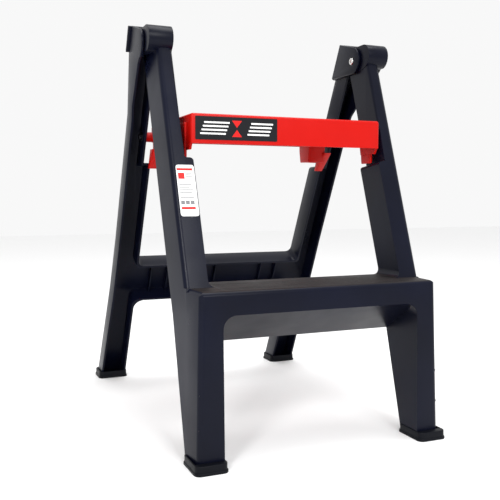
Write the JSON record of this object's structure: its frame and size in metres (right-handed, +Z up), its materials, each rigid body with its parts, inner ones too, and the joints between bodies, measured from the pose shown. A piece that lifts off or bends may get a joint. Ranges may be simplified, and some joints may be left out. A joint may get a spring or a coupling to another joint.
{
  "type": "folding sawhorse",
  "caption": "Folding sawhorse step: two moulded shell frames hinged at the top, a step tread on the front one and a red platform that tilts up as the frames close.",
  "frame": {"origin": "on the floor under the middle of the open stand", "axes": "+Z up, +X across the stand to the right, -Y towards the tread, where a person steps up"},
  "size_m": [0.4652, 0.6522, 0.68],
  "materials": {
    "slate_plastic": "satin moulded polypropylene, fine leather-like grain",
    "red_plastic": "satin-gloss moulded plastic",
    "foot_plastic": "matt soft plastic",
    "zinc_steel": "bright zinc plate",
    "brass": "turned",
    "nylon": "natural nylon",
    "dark_label": "printed film",
    "white_label": "printed paper under film"
  },
  "bodies": {
    "front": {"front_frame": "slate_plastic", "info_label": "white_label", "front_foot_left": "foot_plastic", "front_foot_right": "foot_plastic", "hinge_bush_left": "nylon", "hinge_bush_right": "nylon"},
    "rear": {"rear_frame": "slate_plastic", "rear_foot_left": "foot_plastic", "rear_foot_right": "foot_plastic", "hinge_bolt_left": "zinc_steel", "hinge_bolt_right": "zinc_steel", "hinge_washer_left": "zinc_steel", "hinge_washer_right": "zinc_steel", "hinge_insert_left": "brass", "hinge_insert_right": "brass", "platform_pin_left": "zinc_steel", "platform_pin_right": "zinc_steel", "platform_clip_left": "zinc_steel", "platform_clip_right": "zinc_steel"},
    "platform_body": {"platform": "red_plastic", "front_label": "dark_label"}
  },
  "joints": [
    {"name": "rear_fold", "type": "hinge", "parent": "front", "child": "rear", "pos_m": [0, -0.076, 0.64], "axis": [-1, 0, 0], "range_deg": [0, 44.5]},
    {"name": "platform_tilt", "type": "hinge", "parent": "rear", "child": "platform_body", "pos_m": [0, 0.043, 0.4988], "axis": [-1, 0, 0], "range_deg": [0, 63.1]}
  ],
  "couplings": [
    {"joint": "platform_tilt", "follows": "rear_fold", "ratio": 1.4175}
  ]
}
